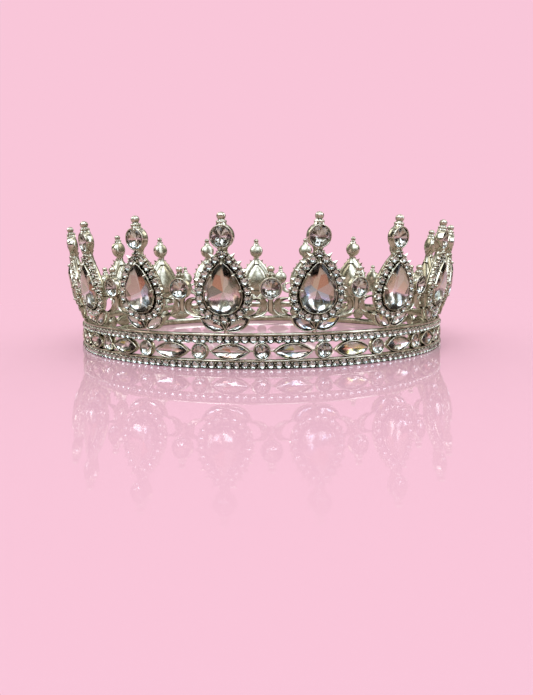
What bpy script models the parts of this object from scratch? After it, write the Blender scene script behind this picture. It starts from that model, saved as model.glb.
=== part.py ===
"""A full round jewelled crown: two stone-set rails with a row of bezel cups between them, seventeen
tall pear-stone spires and seventeen short round-stone finials standing on pairs of open scrolls.

Units are metres. The ring's axis is Z, its base is at Z = 0 and its front is towards -Y.
"""

import math

import bmesh
import bpy
from mathutils import Vector

MM = 0.001

# Layout round the ring
SPIRES = 17
BAND_PAIRS = 24
RING_SIDES = 40
FIRST_SPIRE_ANGLE = math.radians(-8.5)
SPIRE_PITCH = 2 * math.pi / SPIRES
PAIR_PITCH = 2 * math.pi / BAND_PAIRS
GAP = 0.3 * MM

# Rails: an angle strip with a row of small stones against its back wall
RAIL_INNER_RADIUS = 72.7 * MM
RAIL_WALL = 0.9 * MM
RAIL_LEDGE_RADIUS = 74.9 * MM
ROW_OUTER_RADIUS = 75.4 * MM
LOWER_RAIL_TOP = 2.4 * MM
LOWER_LEDGE = 0.4 * MM
UPPER_RAIL_BOTTOM = 8.1 * MM
UPPER_RAIL_TOP = 10.9 * MM
UPPER_LEDGE = 0.8 * MM
ROW_HEIGHT = 1.7 * MM
ROW_BEVEL = 0.4 * MM

# Band cups, which fill the window between the rails
BAND_CUP_RADIUS = 75.0 * MM
BAND_CUP_DEPTH = 2.0 * MM
BAND_CUP_SEAT = 1.2 * MM
BAND_CUP_WALL = 0.45 * MM
BAND_WINDOW_HEIGHT = UPPER_RAIL_BOTTOM - LOWER_RAIL_TOP
BAND_CUP_HEIGHT = BAND_WINDOW_HEIGHT - 2 * GAP
BAND_MARQUISE_LENGTH = 11.4 * MM
BAND_MARQUISE_INSET = 2.25 * MM
BAND_LINK_HEIGHT = 0.8 * MM
BAND_LINK_DEPTH = 0.7 * MM
BAND_LINK_SETBACK = 0.1 * MM
BAND_LINK_START_SHARE = 0.105
BAND_LINK_END_SHARE = 0.36

# Standing castings lean outwards from the upper rail
LEAN = math.radians(8.8)
SPIRE_BASE_RADIUS = 73.8 * MM
SPIRE_BASE_HEIGHT = UPPER_RAIL_TOP + GAP

# Outlines. The pear is widest a little above a third of its height, with a soft point on top
ROUND_SIDES = 8
MARQUISE_SHOULDER = 0.2
PEAR_POWER = 0.7
PEAR_WIDEST_SHARE = 0.3704
PEAR_WIDEST = math.acos(1 - 2 * PEAR_WIDEST_SHARE)
PEAR_NORM = math.sin(PEAR_WIDEST) * math.cos(PEAR_WIDEST / 2) ** PEAR_POWER
PEAR_POINTS = 12

# Tall spire, in its own leaning plane: X along the ring, Z up the spire, -Y outwards
HALO_WIDTH = 16.6 * MM
HALO_HEIGHT = 20.2 * MM
HALO_BOTTOM = 4.1 * MM
PLATE_FRONT = -0.7 * MM
PLATE_BACK = 0.7 * MM
PEAR_CUP_WIDTH = 11.9 * MM
PEAR_CUP_HEIGHT = 16.2 * MM
PEAR_CUP_BOTTOM = 6.3 * MM
PEAR_CUP_FRONT = -2.6 * MM
PEAR_CUP_SEAT = -0.9 * MM
PEAR_CUP_WALL = 0.55 * MM
PEAR_CUP_BACK = 1.8 * MM
HEART_SHARE = 0.42
TABLE_SHARE = 0.55
PEAR_GIRDLE = -2.4 * MM
PEAR_TABLE = -3.8 * MM
PEAR_CULET = PEAR_CUP_SEAT - GAP
V_LENGTH = 9.4 * MM
V_SHOULDER = 1.2 * MM
V_ANGLE = math.radians(32)
V_FOOT_WIDTH = 1.8 * MM
STEM_WIDTH = 2.8 * MM
STEM_BOTTOM = 24.0 * MM
TOP_CUP_CENTRE = 29.8 * MM
TOP_CUP_DIAMETER = 7.2 * MM
ROUND_CUP_WALL = 0.4 * MM
TOP_CUP_FRONT = -1.5 * MM
TOP_CUP_SEAT = -0.4 * MM
TOP_CUP_BACK = 1.5 * MM
COLLAR_DIAMETER = 3.2 * MM
COLLAR_TOP = 34.8 * MM
BEAD_SEGMENTS = 6
BEAD_RINGS = 3
TOP_BEAD_DIAMETER = 2.6 * MM
TOP_BEAD_CENTRE = 35.6 * MM

# Scroll link with the short finial, in the leaning plane of a gap between two spires
SCROLL_WIRE = 0.8 * MM
SCROLL_INNER_X = 1.3 * MM
SCROLL_OUTER_X = 5.1 * MM
SCROLL_BOTTOM = 4.6 * MM
SCROLL_TOP = 10.7 * MM
SCROLL_TOP_SQUARENESS = 0.4
SCROLL_POINTS = 6
SHORT_CUP_CENTRE = 12.9 * MM
SHORT_CUP_DIAMETER = 6.7 * MM
SHORT_CUP_FRONT = -1.4 * MM
SHORT_CUP_SEAT = -0.4 * MM
SHORT_CUP_BACK = 1.2 * MM
SHORT_COLLAR_DIAMETER = 2.4 * MM
SHORT_COLLAR_TOP = 17.8 * MM
SHORT_COLLAR_OVERLAP = 0.3 * MM
SHORT_BEAD_DIAMETER = 2.2 * MM
SHORT_BEAD_CENTRE = 18.5 * MM

SILVER = ("plated_silver", (0.62, 0.60, 0.53), 0.18, 1.0, 0.0)
CRYSTAL = ("crystal", (0.92, 0.90, 0.90), 0.03, 0.0, 0.6)
SMALL_CRYSTAL = ("small_crystal", (0.82, 0.80, 0.80), 0.08, 0.0, 0.4)


def clear_scene():
    for obj in list(bpy.data.objects):
        bpy.data.objects.remove(obj, do_unlink=True)


def make_material(name, colour, roughness, metallic, transmission):
    material = bpy.data.materials.new(name)
    material.use_nodes = True
    shader = material.node_tree.nodes["Principled BSDF"]
    shader.inputs["Base Color"].default_value = (*colour, 1.0)
    shader.inputs["Roughness"].default_value = roughness
    shader.inputs["Metallic"].default_value = metallic
    shader.inputs["Transmission Weight"].default_value = transmission
    material.diffuse_color = (*colour, 1.0)
    return material


# ---------------------------------------------------------------- outlines, as (x, z) pairs


def pear_outline(width, height, bottom, count=PEAR_POINTS):
    """Runs anticlockwise seen from the front, starting at the lowest point."""
    points = []
    for index in range(count):
        turn = 2 * math.pi * index / count
        side = 1 if turn <= math.pi else -1
        half_turn = turn if turn <= math.pi else 2 * math.pi - turn
        fullness = math.sin(half_turn) * abs(math.cos(half_turn / 2)) ** PEAR_POWER
        x = side * width / 2 * fullness / PEAR_NORM
        z = bottom + height * (1 - math.cos(half_turn)) / 2
        points.append((x, z))
    return points


def round_outline(diameter, centre, count=ROUND_SIDES):
    """A regular polygon with a flat side down."""
    start = -math.pi / 2 + math.pi / count
    return [
        (
            diameter / 2 * math.cos(start + 2 * math.pi * index / count),
            centre + diameter / 2 * math.sin(start + 2 * math.pi * index / count),
        )
        for index in range(count)
    ]


def marquise_outline(length, width, centre, angle):
    """A pointed oval with six corners, its long axis turned up by the angle from X."""
    shoulder = MARQUISE_SHOULDER
    corners = [(1, 0), (shoulder, 1), (-shoulder, 1), (-1, 0), (-shoulder, -1), (shoulder, -1)]
    turned = []
    for along, across in corners:
        x = along * length / 2
        z = across * width / 2
        turned_x = centre[0] + x * math.cos(angle) - z * math.sin(angle)
        turned_z = centre[1] + x * math.sin(angle) + z * math.cos(angle)
        turned.append((turned_x, turned_z))
    return turned


# ---------------------------------------------------------------- solids


def mesh_from(build):
    """Runs build on a new bmesh, turns its faces outwards and returns the mesh."""
    shape = bmesh.new()
    build(shape)
    bmesh.ops.recalc_face_normals(shape, faces=shape.faces)
    mesh = bpy.data.meshes.new("shape")
    shape.to_mesh(mesh)
    shape.free()
    return mesh


def add_loop(shape, outline, depth):
    return [shape.verts.new((x, depth, z)) for x, z in outline]


def bridge(shape, first, second):
    count = len(first)
    for index in range(count):
        after = (index + 1) % count
        shape.faces.new((first[index], first[after], second[after], second[index]))


def prism(outline, front, back):
    """An outline in the XZ plane, extruded along Y."""

    def build(shape):
        near = add_loop(shape, outline, front)
        far = add_loop(shape, outline, back)
        shape.faces.new(near)
        shape.faces.new(far)
        bridge(shape, near, far)

    return mesh_from(build)


def cup(outer, inner, front, seat, back):
    """A prism with a recess in its front, which holds a stone."""

    def build(shape):
        far = add_loop(shape, outer, back)
        near = add_loop(shape, outer, front)
        rim = add_loop(shape, inner, front)
        floor = add_loop(shape, inner, seat)
        shape.faces.new(far)
        bridge(shape, far, near)
        bridge(shape, near, rim)
        bridge(shape, rim, floor)
        shape.faces.new(floor)

    return mesh_from(build)


def bead(diameter, centre):
    def build(shape):
        bmesh.ops.create_uvsphere(
            shape, u_segments=BEAD_SEGMENTS, v_segments=BEAD_RINGS, radius=diameter / 2
        )
        bmesh.ops.translate(shape, verts=shape.verts, vec=(0, 0, centre))

    return mesh_from(build)


def wire(points, size):
    """A square wire through points in the XZ plane."""
    half = size / 2

    def build(shape):
        loops = []
        for index, (x, z) in enumerate(points):
            before = Vector(points[max(index - 1, 0)])
            after = Vector(points[min(index + 1, len(points) - 1)])
            along = (after - before).normalized()
            across = Vector((-along.y, along.x)) * half
            corners = ((1, -half), (1, half), (-1, half), (-1, -half))
            loops.append(
                [
                    shape.verts.new((x + side * across.x, depth, z + side * across.y))
                    for side, depth in corners
                ]
            )
        for first, second in zip(loops, loops[1:]):
            bridge(shape, first, second)
        shape.faces.new(loops[0])
        shape.faces.new(loops[-1])

    return mesh_from(build)


def ring(profile):
    """A ring turned from an outline of (radius, z) pairs."""

    def build(shape):
        loops = []
        for step in range(RING_SIDES):
            angle = 2 * math.pi * (step + 0.5) / RING_SIDES
            loops.append(
                [
                    shape.verts.new((radius * math.sin(angle), -radius * math.cos(angle), z))
                    for radius, z in profile
                ]
            )
        for step, loop in enumerate(loops):
            bridge(shape, loop, loops[(step + 1) % RING_SIDES])

    return mesh_from(build)


def united(meshes):
    """One mesh from overlapping ones, by exact Boolean unions."""
    base = bpy.data.objects.new("base", meshes[0])
    helpers = [bpy.data.objects.new("added", mesh) for mesh in meshes[1:]]
    for obj in [base, *helpers]:
        bpy.context.scene.collection.objects.link(obj)
    for helper in helpers:
        union = base.modifiers.new("union", "BOOLEAN")
        union.operation = "UNION"
        union.solver = "EXACT"
        union.object = helper
    graph = bpy.context.evaluated_depsgraph_get()
    result = bpy.data.meshes.new_from_object(base.evaluated_get(graph))
    for obj in [base, *helpers]:
        bpy.data.objects.remove(obj, do_unlink=True)
    return result


def add_object(name, mesh, material, parent, location=(0, 0, 0), rotation=(0, 0, 0)):
    if not mesh.materials:
        mesh.materials.append(material)
    obj = bpy.data.objects.new(name, mesh)
    obj.location = location
    obj.rotation_euler = rotation
    obj.parent = parent
    bpy.context.scene.collection.objects.link(obj)
    return obj


def shade(mesh, sharp_degrees=40):
    mesh.shade_smooth()
    mesh.set_sharp_from_angle(angle=math.radians(sharp_degrees))


# ---------------------------------------------------------------- the crown's pieces


def on_ring(angle, radius, height):
    return (radius * math.sin(angle), -radius * math.cos(angle), height)


def rail_mesh(bottom, top, ledge_bottom, ledge_top):
    """An angle strip: a back wall of full height and a ledge at its top or bottom."""
    wall = RAIL_INNER_RADIUS + RAIL_WALL
    if ledge_bottom == bottom:
        profile = [
            (RAIL_INNER_RADIUS, bottom),
            (RAIL_LEDGE_RADIUS, bottom),
            (RAIL_LEDGE_RADIUS, ledge_top),
            (wall, ledge_top),
            (wall, top),
            (RAIL_INNER_RADIUS, top),
        ]
    else:
        profile = [
            (RAIL_INNER_RADIUS, bottom),
            (wall, bottom),
            (wall, ledge_bottom),
            (RAIL_LEDGE_RADIUS, ledge_bottom),
            (RAIL_LEDGE_RADIUS, top),
            (RAIL_INNER_RADIUS, top),
        ]
    return ring(profile)


def stone_row_mesh(bottom):
    """The joined row of small round stones in a rail, with a bulged front."""
    inner = RAIL_INNER_RADIUS + RAIL_WALL + GAP
    shoulder = ROW_OUTER_RADIUS - ROW_BEVEL
    top = bottom + ROW_HEIGHT
    middle = bottom + ROW_HEIGHT / 2
    front = [(shoulder, bottom), (ROW_OUTER_RADIUS, middle), (shoulder, top)]
    return ring([(inner, bottom), *front, (inner, top)])


def band_cup_row_mesh():
    """Round and marquise cups in turn round the ring, joined by short links behind their rims."""
    middle = LOWER_RAIL_TOP + BAND_WINDOW_HEIGHT / 2
    inset = 2 * BAND_CUP_WALL
    flat_share = math.cos(math.pi / ROUND_SIDES)
    round_cup = cup(
        round_outline(BAND_CUP_HEIGHT / flat_share, middle),
        round_outline((BAND_CUP_HEIGHT - inset) / flat_share, middle),
        0.0,
        BAND_CUP_SEAT,
        BAND_CUP_DEPTH,
    )
    marquise_cup = cup(
        marquise_outline(BAND_MARQUISE_LENGTH, BAND_CUP_HEIGHT, (0, middle), 0),
        marquise_outline(
            BAND_MARQUISE_LENGTH - BAND_MARQUISE_INSET, BAND_CUP_HEIGHT - inset, (0, middle), 0
        ),
        0.0,
        BAND_CUP_SEAT,
        BAND_CUP_DEPTH,
    )
    link_half = BAND_LINK_HEIGHT / 2
    link_start = BAND_LINK_START_SHARE * PAIR_PITCH * BAND_CUP_RADIUS
    link_reach = BAND_LINK_END_SHARE * PAIR_PITCH * BAND_CUP_RADIUS
    link_outline = [
        (link_start, middle - link_half),
        (link_reach, middle - link_half),
        (link_reach, middle + link_half),
        (link_start, middle + link_half),
    ]
    link_front = BAND_CUP_DEPTH - BAND_LINK_DEPTH
    link_back = BAND_CUP_DEPTH - BAND_LINK_SETBACK
    right_link = prism(link_outline, link_front, link_back)
    left_link = prism([(-x, z) for x, z in reversed(link_outline)], link_front, link_back)
    pieces = []
    for pair in range(BAND_PAIRS):
        centre_angle = pair * PAIR_PITCH
        half_pitch = PAIR_PITCH / 2
        pieces += [
            turned_copy(round_cup, centre_angle, BAND_CUP_RADIUS),
            turned_copy(right_link, centre_angle, BAND_CUP_RADIUS),
            turned_copy(left_link, centre_angle, BAND_CUP_RADIUS),
            turned_copy(marquise_cup, centre_angle + half_pitch, BAND_CUP_RADIUS),
        ]
    return united(pieces)


def turned_copy(mesh, angle, radius):
    """A copy of a mesh modelled at the front, moved out to the radius and turned round the ring."""
    copy = mesh.copy()
    x, y, _ = on_ring(angle, radius, 0)
    for vertex in copy.vertices:
        across, depth, z = vertex.co
        turned_x = across * math.cos(angle) - depth * math.sin(angle)
        turned_y = across * math.sin(angle) + depth * math.cos(angle)
        vertex.co = (x + turned_x, y + turned_y, z)
    return copy


def round_cup_mesh(diameter, centre, front, seat, back):
    return cup(
        round_outline(diameter, centre),
        round_outline(diameter - 2 * ROUND_CUP_WALL, centre),
        front,
        seat,
        back,
    )


def spire_plate_outline():
    """The flat silhouette that carries a tall spire's cups: V foot, halo, stem and collar."""
    foot = (V_FOOT_WIDTH / 2, 0)
    tip = (V_LENGTH * math.cos(V_ANGLE), V_LENGTH * math.sin(V_ANGLE))
    halo = pear_outline(HALO_WIDTH, HALO_HEIGHT, HALO_BOTTOM)
    right_of_halo = halo[2 : PEAR_POINTS // 2]
    shoulder = (halo[1][0] + V_SHOULDER, halo[1][1] + V_SHOULDER)
    stem = [(STEM_WIDTH / 2, STEM_BOTTOM), (COLLAR_DIAMETER / 2, COLLAR_TOP)]
    right = [foot, tip, shoulder, *right_of_halo, *stem]
    left = [(-x, z) for x, z in reversed(right)]
    return right + left


def tall_spire_mesh():
    """The whole casting of a tall spire: plate, pear cup with its closed back, round cup and bead."""
    inset = 2 * PEAR_CUP_WALL
    pear_cup = cup(
        pear_outline(PEAR_CUP_WIDTH, PEAR_CUP_HEIGHT, PEAR_CUP_BOTTOM),
        pear_outline(PEAR_CUP_WIDTH - inset, PEAR_CUP_HEIGHT - inset, PEAR_CUP_BOTTOM + PEAR_CUP_WALL),
        PEAR_CUP_FRONT,
        PEAR_CUP_SEAT,
        PEAR_CUP_BACK,
    )
    return united(
        [
            prism(spire_plate_outline(), PLATE_FRONT, PLATE_BACK),
            pear_cup,
            round_cup_mesh(TOP_CUP_DIAMETER, TOP_CUP_CENTRE, TOP_CUP_FRONT, TOP_CUP_SEAT, TOP_CUP_BACK),
            bead(TOP_BEAD_DIAMETER, TOP_BEAD_CENTRE),
        ]
    )


def scroll_points(side):
    """One open C scroll, its round side towards the middle of the gap."""
    middle = (SCROLL_BOTTOM + SCROLL_TOP) / 2
    half_height = (SCROLL_TOP - SCROLL_BOTTOM) / 2
    reach = SCROLL_OUTER_X - SCROLL_INNER_X
    points = []
    for index in range(SCROLL_POINTS):
        turn = math.pi * (index / (SCROLL_POINTS - 1) - 0.5)
        squareness = SCROLL_TOP_SQUARENESS if turn > 0 else 1
        x = SCROLL_OUTER_X - reach * abs(math.cos(turn)) ** squareness
        points.append((side * x, middle + half_height * math.sin(turn)))
    return points


def scroll_link_mesh():
    """Two C scrolls back to back, with the short finial standing on their tops."""
    collar_half = SHORT_COLLAR_DIAMETER / 2
    collar_bottom = SHORT_CUP_CENTRE + SHORT_CUP_DIAMETER / 2 - SHORT_COLLAR_OVERLAP
    collar = [
        (-collar_half, collar_bottom),
        (collar_half, collar_bottom),
        (collar_half, SHORT_COLLAR_TOP),
        (-collar_half, SHORT_COLLAR_TOP),
    ]
    return united(
        [
            wire(scroll_points(-1), SCROLL_WIRE),
            wire(scroll_points(1), SCROLL_WIRE),
            round_cup_mesh(
                SHORT_CUP_DIAMETER, SHORT_CUP_CENTRE, SHORT_CUP_FRONT, SHORT_CUP_SEAT, SHORT_CUP_BACK
            ),
            prism(collar, -collar_half, collar_half),
            bead(SHORT_BEAD_DIAMETER, SHORT_BEAD_CENTRE),
        ]
    )


def pear_stone_mesh():
    """A pear-cut stone: table, crown, girdle and a pavilion that runs to a culet."""
    width = PEAR_CUP_WIDTH - 2 * (PEAR_CUP_WALL + GAP)
    height = PEAR_CUP_HEIGHT - 2 * (PEAR_CUP_WALL + GAP)
    bottom = PEAR_CUP_BOTTOM + PEAR_CUP_WALL + GAP
    heart = bottom + HEART_SHARE * height

    def build(shape):
        girdle = add_loop(shape, pear_outline(width, height, bottom), PEAR_GIRDLE)
        table_bottom = heart - HEART_SHARE * height * TABLE_SHARE
        table_outline = pear_outline(width * TABLE_SHARE, height * TABLE_SHARE, table_bottom)
        table = add_loop(shape, table_outline, PEAR_TABLE)
        culet = shape.verts.new((0, PEAR_CULET, heart))
        shape.faces.new(table)
        bridge(shape, table, girdle)
        for index, vertex in enumerate(girdle):
            shape.faces.new((vertex, girdle[(index + 1) % len(girdle)], culet))

    return mesh_from(build)


def build_crown():
    clear_scene()
    silver = make_material(*SILVER)
    crystal = make_material(*CRYSTAL)
    small_crystal = make_material(*SMALL_CRYSTAL)
    crown = bpy.data.objects.new("crown", None)
    bpy.context.scene.collection.objects.link(crown)

    lower_rail = rail_mesh(0, LOWER_RAIL_TOP, 0, LOWER_LEDGE)
    ledge_bottom = UPPER_RAIL_TOP - UPPER_LEDGE
    upper_rail = rail_mesh(UPPER_RAIL_BOTTOM, UPPER_RAIL_TOP, ledge_bottom, UPPER_RAIL_TOP)
    band_cups = band_cup_row_mesh()
    tall_spire = tall_spire_mesh()
    scroll_link = scroll_link_mesh()
    pear_stone = pear_stone_mesh()
    for mesh in (lower_rail, upper_rail, tall_spire, scroll_link, band_cups):
        shade(mesh)

    add_object("lower_rail", lower_rail, silver, crown)
    add_object("upper_rail", upper_rail, silver, crown)
    add_object("band_cup_row", band_cups, silver, crown)
    add_object("lower_stone_row", stone_row_mesh(LOWER_LEDGE + GAP), small_crystal, crown)
    upper_row_bottom = ledge_bottom - GAP - ROW_HEIGHT
    add_object("upper_stone_row", stone_row_mesh(upper_row_bottom), small_crystal, crown)
    for spire in range(SPIRES):
        number = f"{spire + 1:02d}"
        angle = FIRST_SPIRE_ANGLE + spire * SPIRE_PITCH
        gap_angle = angle + SPIRE_PITCH / 2
        spire_place = on_ring(angle, SPIRE_BASE_RADIUS, SPIRE_BASE_HEIGHT)
        gap_place = on_ring(gap_angle, SPIRE_BASE_RADIUS, SPIRE_BASE_HEIGHT)
        add_object(f"tall_spire_{number}", tall_spire, silver, crown, spire_place, (LEAN, 0, angle))
        add_object(f"pear_stone_{number}", pear_stone, crystal, crown, spire_place, (LEAN, 0, angle))
        add_object(f"scroll_link_{number}", scroll_link, silver, crown, gap_place, (LEAN, 0, gap_angle))


build_crown()
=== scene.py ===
"""The looks of the jewelled crown: castings, claw settings, foil-backed stones, stage and light.

Shapes are built in millimetres, with X along the ring, Z up and -Y outwards. ring_matrix() sets
them round the band, and standing() sets the leaning spires and links. Every CAD solid is replaced.
"""

import math
import random

import bmesh
import bpy
import numpy as np
from mathutils import Matrix, Vector


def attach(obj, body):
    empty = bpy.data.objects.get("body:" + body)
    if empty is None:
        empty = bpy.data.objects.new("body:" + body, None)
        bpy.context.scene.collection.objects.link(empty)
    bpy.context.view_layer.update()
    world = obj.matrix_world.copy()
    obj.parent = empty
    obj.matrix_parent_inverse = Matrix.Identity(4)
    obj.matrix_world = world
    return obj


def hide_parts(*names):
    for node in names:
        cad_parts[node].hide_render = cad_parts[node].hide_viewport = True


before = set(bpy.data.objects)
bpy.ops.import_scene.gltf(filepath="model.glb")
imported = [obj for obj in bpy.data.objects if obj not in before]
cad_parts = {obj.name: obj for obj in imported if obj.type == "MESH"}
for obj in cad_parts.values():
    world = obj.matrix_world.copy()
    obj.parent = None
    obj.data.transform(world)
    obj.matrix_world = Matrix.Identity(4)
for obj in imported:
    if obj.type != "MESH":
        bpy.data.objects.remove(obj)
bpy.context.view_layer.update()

MM = 0.001

# Layout, repeated from the CAD
SPIRES = 17
BAND_PAIRS = 24
FIRST_SPIRE_ANGLE = math.radians(-8.5)
SPIRE_PITCH = 2 * math.pi / SPIRES
PAIR_PITCH = 2 * math.pi / BAND_PAIRS
LEAN = math.radians(8.8)
SPIRE_BASE_RADIUS = 73.8
SPIRE_BASE_HEIGHT = 11.0

# Rails and band
RAIL_INNER = 72.7
RAIL_OUTER = 74.9
RAIL_STONES = 180
STONE_RADIUS_ON_RING = 75.0
LOWER_ROW_HEIGHT = 1.15
LOWER_RAIL_TOP = 2.75
UPPER_RAIL_BOTTOM = 7.95
UPPER_ROW_HEIGHT = 9.05
UPPER_RAIL_TOP = 10.9
RAIL_STONE_RADIUS = 1.06
WALL_EDGE = 73.9
WALL_OUTER = 74.05
STRIP_INNER = 73.6
LOWER_STRIP = 2.2
UPPER_STRIP = 10.2

# Tall spire
PEAR_CUP = (11.9, 16.2, 6.3)
PEAR_CLAWS = 8
PEAR_INSET = 0.27
PEAR_DEPTHS = (-3.6, -2.62, -2.5, -1.0)
HALO_STONES = 20
HALO_OFFSET = 1.58
HALO_STONE_RADIUS = 1.14
HALO_GIRDLE_Y = -1.75
STEM_GIRDLE_Y = -1.35
V_SIZE = (8.8, 4.3)
V_ANGLE = math.radians(26)
V_ALONG = 4.8
V_RAISE = 1.05
TOP_CUP_CENTRE = 29.8
TOP_CUP_RADIUS = 3.6
TOP_BEAD = (35.75, 1.25)
STONE_MARGIN = 0.42
GRANULES = 7

# Scroll link: the scrolls' reach, height, steps and rim, and the short finial on them
SCROLL_OUTER = 6.6
SCROLL_INNER = 0.95
SCROLL_LOW = 5.1
SCROLL_HIGH = 11.0
SCROLL_STEPS = 61
SCROLL_RIM = (0.34, 0.75)
WEB_SECTION = ((0, -0.05), (0.35, 0.35), (0.7, 0.3), (1, -0.1), (1, 0.35), (0.5, 0.75), (0, 0.6))
POST_LOW = 6.9
SHORT_CUP_CENTRE = 14.1
SHORT_CUP_RADIUS = 3.4
SHORT_BEAD = (19.8, 1.05)

# Painted shade in the metal's crevices: its colour, how near a wall darkens them, and between which openness
PAINTED_CREVICE_SHADE = (0.07, 0.058, 0.04)
PAINTED_SHADE_REACH = 0.0007
PAINTED_SHADE_RANGE = (0.18, 0.72)

# Studio
PINK = (0.947, 0.565, 0.694)
TABLE_COLOUR = (0.50, 0.38, 0.32)
KEY_STRENGTH = 0.5
AMBIENT = 0.885

# Pear outline: how it narrows, its widest share before scaling, and its growth in height
PEAR_POWER = 0.7
PEAR_NORM = 0.8215
PEAR_TIP_GROWTH = 2.3

# Claws and halo plate, as (thickness, share of length) and (offset, y)
CLAW_PROFILE = ((0.9, 0), (1.0, 0.55), (0.93, 0.8), (0.55, 0.97), (0.15, 1.02))
HALO_PLATE = (
    (0.05, 0.4),
    (0.05, -0.2),
    (0.4, -0.3),
    (0.5, -1.25),
    (2.45, -1.25),
    (2.85, -1.05),
    (2.75, -0.3),
    (2.2, 0.36),
    (0.1, 0.5),
)

# Material slots of a casting and of a stone, and the tint of a face that needs none
METAL, PAINTED_SHADE_SEAT, BACK = 0, 1, 2
CLEAR, FOIL = 0, 1
NO_TINT = (1.0, 1.0, 1.0)
ANY_TURN = 6.28


# ---------------------------------------------------------------- building meshes


class Shape:
    """Points in millimetres and faces with a material slot, gathered from many parts."""

    def __init__(self):
        self.points = []
        self.faces = []
        self.slots = []
        self.smooth = []
        self.tints = []
        self.count = 0

    def add_faces(self, faces, slot, smooth, tints):
        self.faces += faces
        self.slots += [slot] * len(faces)
        self.smooth += [smooth] * len(faces)
        self.tints += tints

    def add(self, points, faces, slot=METAL, smooth=True):
        points = np.asarray(points, float).reshape(-1, 3)
        moved = [tuple(index + self.count for index in face) for face in faces]
        self.points.append(points)
        self.add_faces(moved, slot, smooth, [NO_TINT] * len(faces))
        self.count += len(points)

    def join(self, other, matrix=None):
        """Adds another shape, moved by a matrix in millimetres."""
        points = np.concatenate(other.points)
        if matrix is not None:
            points = points @ np.array(matrix.to_3x3()).T + np.array(matrix.translation)
        self.points.append(points)
        self.faces += [tuple(index + self.count for index in face) for face in other.faces]
        self.slots += other.slots
        self.smooth += other.smooth
        self.tints += other.tints
        self.count += len(points)

    def mesh(self, name, materials):
        mesh = bpy.data.meshes.new(name)
        mesh.from_pydata((np.concatenate(self.points) * MM).tolist(), [], self.faces)
        mesh.polygons.foreach_set("material_index", self.slots)
        mesh.polygons.foreach_set("use_smooth", self.smooth)
        if any(tint != NO_TINT for tint in self.tints):
            layer = mesh.color_attributes.new("foil_tint_and_painted_reflection", "FLOAT_COLOR", "CORNER")
            corners = [(*tint, 1.0) for face, tint in zip(self.faces, self.tints) for _ in face]
            layer.data.foreach_set("color", np.array(corners, float).ravel())
        for material in materials:
            mesh.materials.append(material)
        shape = bmesh.new()
        shape.from_mesh(mesh)
        bmesh.ops.recalc_face_normals(shape, faces=shape.faces)
        shape.to_mesh(mesh)
        shape.free()
        mesh.set_sharp_from_angle(angle=math.radians(50))
        return mesh


def upright(outline, depth):
    """(x, z) points as (x, y, z) points at one depth."""
    outline = np.asarray(outline, float)
    return np.column_stack([outline[:, 0], np.full(len(outline), depth), outline[:, 1]])


def full_turn(count):
    """Evenly spaced turns round a circle, from 0."""
    return np.linspace(0, 2 * math.pi, count, endpoint=False)


def skin(shape, loops, slot=METAL):
    """A closed surface through loops of equal length, capped at both ends by fans."""
    count = len(loops[0])
    points = np.concatenate([loops[0].mean(0)[None], *loops, loops[-1].mean(0)[None]])
    faces = []
    for index in range(count):
        after = (index + 1) % count
        faces.append((0, 1 + after, 1 + index))
        for level in range(len(loops) - 1):
            low, high = 1 + level * count, 1 + (level + 1) * count
            faces.append((low + index, low + after, high + after, high + index))
        last = 1 + (len(loops) - 1) * count
        faces.append((last + index, last + after, len(points) - 1))
    shape.add(points, faces, slot)


def tube_ring(shape, loops):
    """A closed ring: the last loop meets the first."""
    count = len(loops[0])
    faces = []
    for level in range(len(loops)):
        low, high = level * count, (level + 1) % len(loops) * count
        for index in range(count):
            after = (index + 1) % count
            faces.append((low + index, low + after, high + after, high + index))
    shape.add(np.concatenate(loops), faces)


def domed(loop, height):
    """Loops that close a loop with a dome towards +Y, up to a small flat top."""
    middle = loop.mean(0)
    steps = 6
    loops = []
    for step in range(1, steps + 1):
        turn = math.pi / 2 * step / (steps + 0.4)
        ring = middle + (loop - middle) * math.cos(turn)
        ring[:, 1] = loop[:, 1] + height * math.sin(turn)
        loops.append(ring)
    return loops


def turned(profile, count, centre=(0, 0), ridges=0, ridge_depth=0.0):
    """Loops of a profile of (radius, z) pairs turned about the local Z axis, with optional ridges."""
    angles = full_turn(count)
    loops = []
    for radius, height in profile:
        swell = radius * (1 + ridge_depth * np.cos(ridges * angles))
        x = centre[0] + swell * np.cos(angles)
        y = centre[1] + swell * np.sin(angles)
        loops.append(np.column_stack([x, y, np.full(count, height)]))
    return loops


def ball_profile(centre, radius, steps=9):
    """The profile of a ball, for turned(), up to a small flat top."""
    turns = np.linspace(-math.pi / 2, math.pi / 2 * 0.96, steps)
    return [(radius * math.cos(turn), centre + radius * math.sin(turn)) for turn in turns]


# ---------------------------------------------------------------- outlines


def pear_at(turn, width, height, bottom):
    """Points of a pear outline at turns from 0, at the bottom, anticlockwise to 2 pi."""
    turn = np.asarray(turn, float) % (2 * math.pi)
    half = np.minimum(turn, 2 * math.pi - turn)
    side = np.where(turn <= math.pi, 1, -1)
    across = np.sin(half) * np.abs(np.cos(half / 2)) ** PEAR_POWER / PEAR_NORM
    return np.column_stack([side * width / 2 * across, bottom + height * (1 - np.cos(half)) / 2])


def pear_family(width, height, bottom, count=72):
    """offset -> the outline grown by that much on every side."""
    turns = full_turn(count)

    def grown(offset):
        taller = height + PEAR_TIP_GROWTH * offset
        return pear_at(turns, width + 2 * offset, taller, bottom - offset)

    return grown


def round_family(radius, centre, count=48):
    turns = full_turn(count)

    def grown(offset):
        size = radius + offset
        return np.column_stack([size * np.cos(turns), centre + size * np.sin(turns)])

    return grown


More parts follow.
